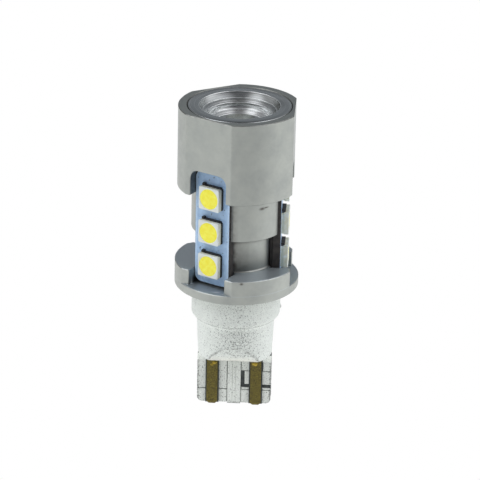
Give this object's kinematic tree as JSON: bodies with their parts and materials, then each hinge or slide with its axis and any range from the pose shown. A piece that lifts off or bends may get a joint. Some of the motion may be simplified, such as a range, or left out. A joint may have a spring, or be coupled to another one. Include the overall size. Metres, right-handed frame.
{
  "type": "wedge base led bulb",
  "caption": "Lamp bulb with a flat wedge base, a milled aluminium heat sink, upright side light boards and a stepped reflector facing up.",
  "frame": {"origin": "on the bulb's axis, level with the lowest point of the contacts", "axes": "+Z along the axis from the wedge to the reflector; the wide faces of the wedge look along -Y and +Y"},
  "size_m": [0.0158, 0.0158, 0.0407],
  "materials": {
    "sink_metal": "fine turned and milled, satin",
    "reflector_metal": "turned, semi-bright",
    "board_mask": "light blue solder mask",
    "led_frame": "white moulded",
    "phosphor": "yellow silicone gel",
    "housing_white": "rough white with grey specks",
    "wedge_board": "white coated board with grey specks",
    "contact_brass": "tarnished sheet brass",
    "chip_black": "black moulded",
    "ferrite": "dark ferrite",
    "capacitor_body": "tan ceramic",
    "lead_insulation": "white insulation"
  },
  "bodies": {
    "root": {"heat_sink_body": "sink_metal", "reflector_cup": "reflector_metal", "end_led_board": "board_mask", "side_led_board_1": "board_mask", "side_led_board_2": "board_mask", "side_led_board_3": "board_mask", "led_package_end": "led_frame", "led_package_1_1": "led_frame", "led_package_1_2": "led_frame", "led_package_1_3": "led_frame", "led_package_2_1": "led_frame", "led_package_2_2": "led_frame", "led_package_2_3": "led_frame", "led_package_3_1": "led_frame", "led_package_3_2": "led_frame", "led_package_3_3": "led_frame", "led_phosphor_end": "phosphor", "led_phosphor_1_1": "phosphor", "led_phosphor_1_2": "phosphor", "led_phosphor_1_3": "phosphor", "led_phosphor_2_1": "phosphor", "led_phosphor_2_2": "phosphor", "led_phosphor_2_3": "phosphor", "led_phosphor_3_1": "phosphor", "led_phosphor_3_2": "phosphor", "led_phosphor_3_3": "phosphor", "base_housing": "housing_white", "driver_board": "wedge_board", "left_contact": "contact_brass", "right_contact": "contact_brass", "rectifier_bridge": "chip_black", "driver_chip": "chip_black", "power_inductor": "ferrite", "input_capacitor": "capacitor_body", "end_board_lead": "lead_insulation", "side_board_lead_1": "lead_insulation", "side_board_lead_2": "lead_insulation", "side_board_lead_3": "lead_insulation"}
  },
  "joints": []
}
